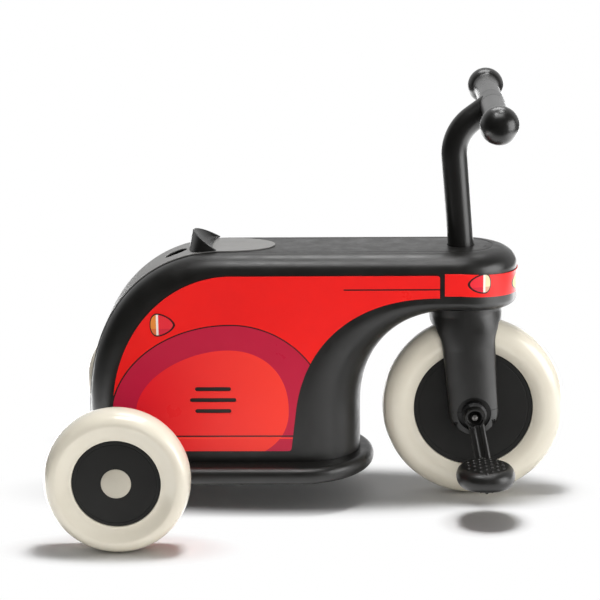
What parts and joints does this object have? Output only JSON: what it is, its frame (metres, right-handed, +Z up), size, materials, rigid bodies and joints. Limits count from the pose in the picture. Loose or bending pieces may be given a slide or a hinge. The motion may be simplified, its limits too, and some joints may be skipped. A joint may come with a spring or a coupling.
{
  "type": "pedal scooter",
  "caption": "Toddler's ride-on pedal trike styled as a motor scooter: seat body with side panels on a base plate, pedals on the front wheel, bent handlebar stem, glossy cream tyres.",
  "frame": {"origin": "on the floor, under the middle of the trike's length and width", "axes": "+X forward along the trike's length, +Y to the rider's left, +Z up"},
  "size_m": [0.55, 0.426, 0.4536],
  "materials": {
    "black_moulded_plastic": "fine satin moulded grain",
    "grip_plastic": "smooth satin",
    "black_painted_steel": "satin powder coat",
    "red_panel": null,
    "grey_inlay": "satin",
    "cream_tyre": "glossy cream",
    "cream_cap": "satin gloss",
    "black_hub": "matt",
    "zinc_steel": "bright zinc plate",
    "bush_nylon": "smooth dark nylon"
  },
  "bodies": {
    "body": {"body_shell": "black_moulded_plastic", "base_plate": "black_moulded_plastic", "side_panel_right": "red_panel", "side_panel_left": "red_panel", "nose_band": "red_panel", "seat_inlay": "grey_inlay", "tail_lip": "grip_plastic", "upper_head_bush": "bush_nylon", "lower_head_bush": "bush_nylon", "rear_axle_tube": "black_painted_steel", "rear_axle": "zinc_steel", "tube_bush_right": "bush_nylon", "tube_bush_left": "bush_nylon", "axle_nut_right": "zinc_steel", "axle_nut_left": "zinc_steel", "axle_washer_right": "zinc_steel", "axle_washer_left": "zinc_steel", "base_screw_1": "zinc_steel", "base_screw_2": "zinc_steel", "base_screw_3": "zinc_steel", "base_screw_4": "zinc_steel"},
    "steering": {"handlebar_stem": "black_painted_steel", "crossbar": "black_painted_steel", "grip_right": "grip_plastic", "grip_left": "grip_plastic", "stem_plug": "zinc_steel", "stem_bolt": "zinc_steel", "fork": "black_moulded_plastic", "fork_cap_right": "black_moulded_plastic", "fork_cap_left": "black_moulded_plastic", "cap_screw_right_front": "zinc_steel", "cap_screw_right_rear": "zinc_steel", "cap_screw_left_front": "zinc_steel", "cap_screw_left_rear": "zinc_steel", "axle_bush_right": "bush_nylon", "axle_bush_left": "bush_nylon"},
    "front_wheel": {"front_tyre": "cream_tyre", "front_hub_right": "black_hub", "front_hub_left": "black_hub", "crank_axle": "zinc_steel", "crank_right": "black_moulded_plastic", "crank_left": "black_moulded_plastic", "pedal_pin_right": "zinc_steel", "pedal_pin_left": "zinc_steel"},
    "pedal_right": {"pedal_right": "grip_plastic"},
    "pedal_left": {"pedal_left": "grip_plastic"},
    "rear_wheel_right": {"rear_tyre_right": "cream_tyre", "rear_hub_outer_right": "black_hub", "rear_hub_inner_right": "black_hub", "rear_hub_cap_right": "cream_cap"},
    "rear_wheel_left": {"rear_tyre_left": "cream_tyre", "rear_hub_outer_left": "black_hub", "rear_hub_inner_left": "black_hub", "rear_hub_cap_left": "cream_cap"}
  },
  "joints": [
    {"name": "steering", "type": "hinge", "parent": "body", "child": "steering", "pos_m": [0.175, 0, 0.1], "axis": [-0.0785, 0, 0.9969], "range_deg": [-30, 30]},
    {"name": "front_wheel_spin", "type": "hinge", "parent": "steering", "child": "front_wheel", "pos_m": [0.175, 0, 0.1], "axis": [0, 1, 0], "continuous": true},
    {"name": "pedal_right_spin", "type": "hinge", "parent": "front_wheel", "child": "pedal_right", "pos_m": [0.18443, -0.1055, 0.05151], "axis": [0, 1, 0], "continuous": true},
    {"name": "pedal_left_spin", "type": "hinge", "parent": "front_wheel", "child": "pedal_left", "pos_m": [0.16557, 0.1055, 0.14849], "axis": [0, 1, 0], "continuous": true},
    {"name": "rear_wheel_right_spin", "type": "hinge", "parent": "body", "child": "rear_wheel_right", "pos_m": [-0.199, -0.192, 0.076], "axis": [0, 1, 0], "continuous": true},
    {"name": "rear_wheel_left_spin", "type": "hinge", "parent": "body", "child": "rear_wheel_left", "pos_m": [-0.199, 0.192, 0.076], "axis": [0, 1, 0], "continuous": true}
  ]
}
